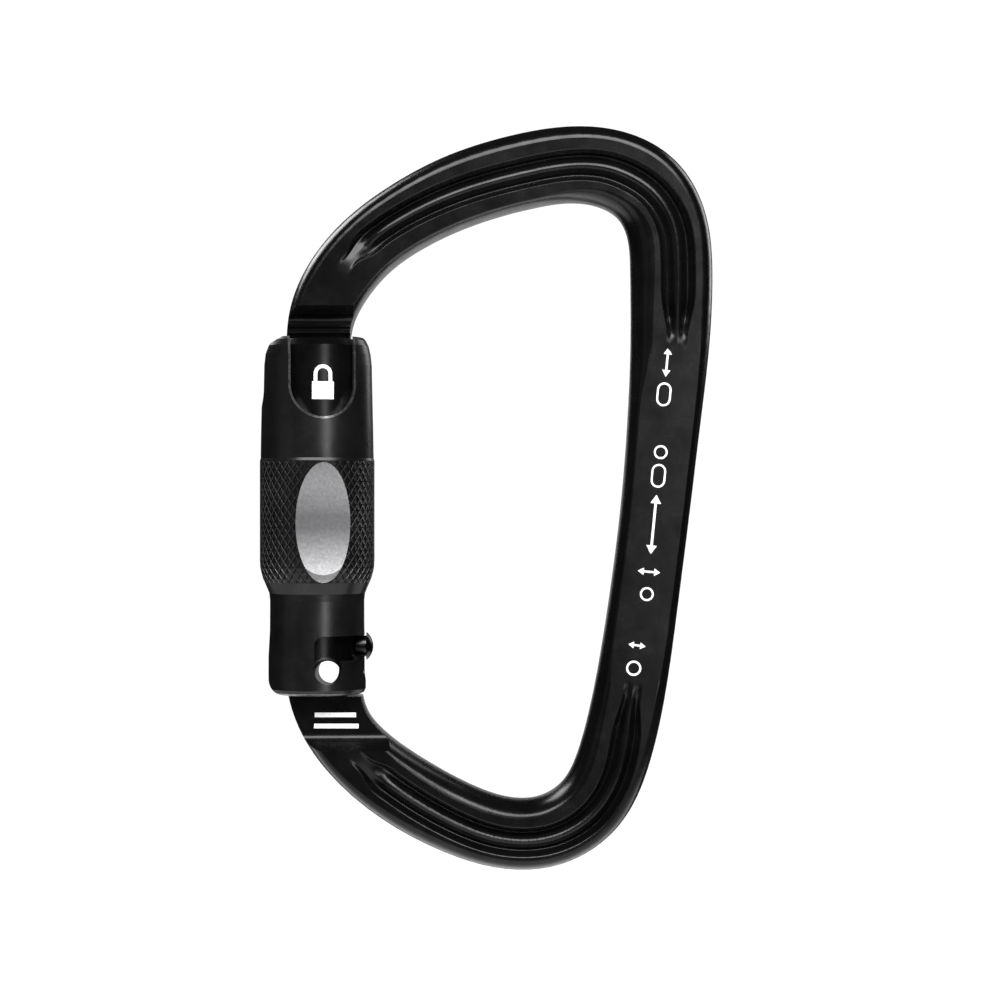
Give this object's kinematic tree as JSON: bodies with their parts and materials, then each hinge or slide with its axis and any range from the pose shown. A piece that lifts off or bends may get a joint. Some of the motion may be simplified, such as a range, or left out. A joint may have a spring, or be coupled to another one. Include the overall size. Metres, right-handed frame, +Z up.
{
  "type": "locking carabiner",
  "caption": "Offset-D aluminium carabiner with a keylock gate, a spring-closed hinge and a sprung auto-locking twist sleeve.",
  "frame": {"origin": "under the middle of the outline, at the lowest point of the bottom bend, in the middle plane of the frame", "axes": "+Z up along the closed carabiner from the hinge end to the nose end, +X from the gate towards the spine, -Y is the face with the windows of the sleeve"},
  "size_m": [0.0695, 0.0176, 0.1141],
  "materials": {
    "frame_black": "black anodised, satin",
    "gate_black": "black anodised, turned",
    "sleeve_black": "black anodised, turned and knurled",
    "rivet_steel": "blackened steel",
    "peg_steel": "blackened steel",
    "plunger_steel": "turned steel",
    "spring_steel": "spring wire",
    "washer_plastic": "acetal"
  },
  "bodies": {
    "frame": {"frame": "frame_black"},
    "gate": {"gate_body": "gate_black", "hinge_rivet": "rivet_steel", "guide_peg": "peg_steel", "gate_spring": "spring_steel", "sleeve_spring": "spring_steel"},
    "plunger": {"gate_plunger": "plunger_steel"},
    "carrier": {"thrust_washer": "washer_plastic"},
    "sleeve": {"locking_sleeve": "sleeve_black"}
  },
  "joints": [
    {"name": "gate_swing", "type": "hinge", "parent": "frame", "child": "gate", "pos_m": [-0.02414, 0, 0.03015], "axis": [0, 1, 0], "range_deg": [0, 26], "stiffness_Nm_per_rad": 0.05, "springref_deg": -34.38},
    {"name": "plunger_slide", "type": "slide", "parent": "gate", "child": "plunger", "axis": [0, 0, 1], "range_m": [0, 0.0005], "deforming": ["gate_spring"]},
    {"name": "sleeve_lift", "type": "slide", "parent": "gate", "child": "carrier", "axis": [0, 0, 1], "range_m": [0, 0.0036], "deforming": ["sleeve_spring"]},
    {"name": "sleeve_twist", "type": "hinge", "parent": "carrier", "child": "sleeve", "pos_m": [-0.02603, 0, 0.054], "axis": [0, 0, 1], "range_deg": [0, 73], "stiffness_Nm_per_rad": 0.02, "springref_deg": -45.84}
  ],
  "couplings": [
    {"joint": "plunger_slide", "follows": "gate_swing", "m_per_rad": 0.0011},
    {"joint": "sleeve_lift", "follows": "gate_swing", "m_per_rad": 0.00793}
  ]
}
